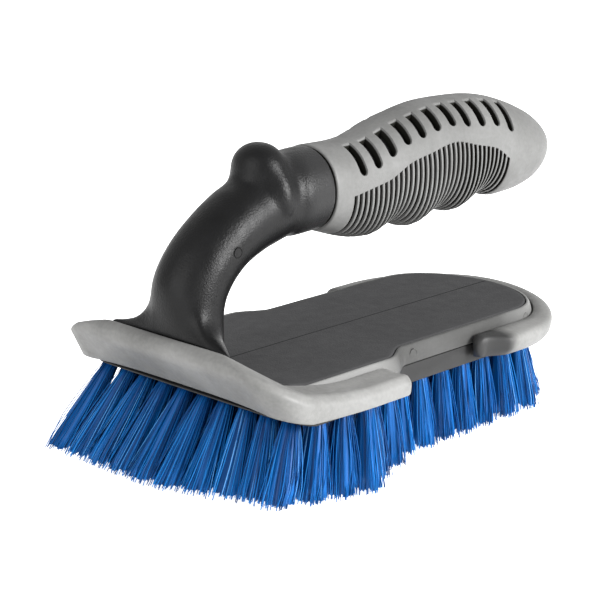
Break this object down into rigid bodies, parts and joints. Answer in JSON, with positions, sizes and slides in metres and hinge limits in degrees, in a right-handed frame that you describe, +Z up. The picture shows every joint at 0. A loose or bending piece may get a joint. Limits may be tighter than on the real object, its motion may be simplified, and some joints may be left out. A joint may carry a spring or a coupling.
{
  "type": "wheel brush",
  "caption": "Hand-held wheel scrub brush: arched handle with soft finger-bump grip over a flat deck, rubber bumpers at both ends and a block of flared bristle tufts.",
  "frame": {"origin": "on the surface the bristle tips stand on, under the middle of the brush's box", "axes": "+X along the brush towards the free end of the grip, +Y to the right seen from behind the grip, +Z up from the bristle tips to the handle"},
  "size_m": [0.2054, 0.1086, 0.1169],
  "materials": {
    "handle_plastic": "satin black moulding, matt on the deck",
    "soft_rubber": "matt light grey overmoulding",
    "block_plastic": "satin mid grey",
    "bristle": "crimped blue filament",
    "screw_steel": "zinc plated"
  },
  "bodies": {
    "root": {"handle_frame": "handle_plastic", "grip_sleeve": "soft_rubber", "rim_band": "soft_rubber", "front_bumper": "soft_rubber", "rear_bumper": "soft_rubber", "bristle_block": "block_plastic", "tuft_row_01": "bristle", "tuft_row_02": "bristle", "tuft_row_03": "bristle", "tuft_row_04": "bristle", "tuft_row_05": "bristle", "tuft_row_06": "bristle", "tuft_row_07": "bristle", "tuft_row_08": "bristle", "tuft_row_09": "bristle", "tuft_row_10": "bristle", "tuft_row_11": "bristle", "tuft_row_12": "bristle", "tuft_row_13": "bristle", "tuft_row_14": "bristle", "block_screw_1": "screw_steel", "block_screw_2": "screw_steel", "block_screw_3": "screw_steel", "block_screw_4": "screw_steel"}
  },
  "joints": []
}
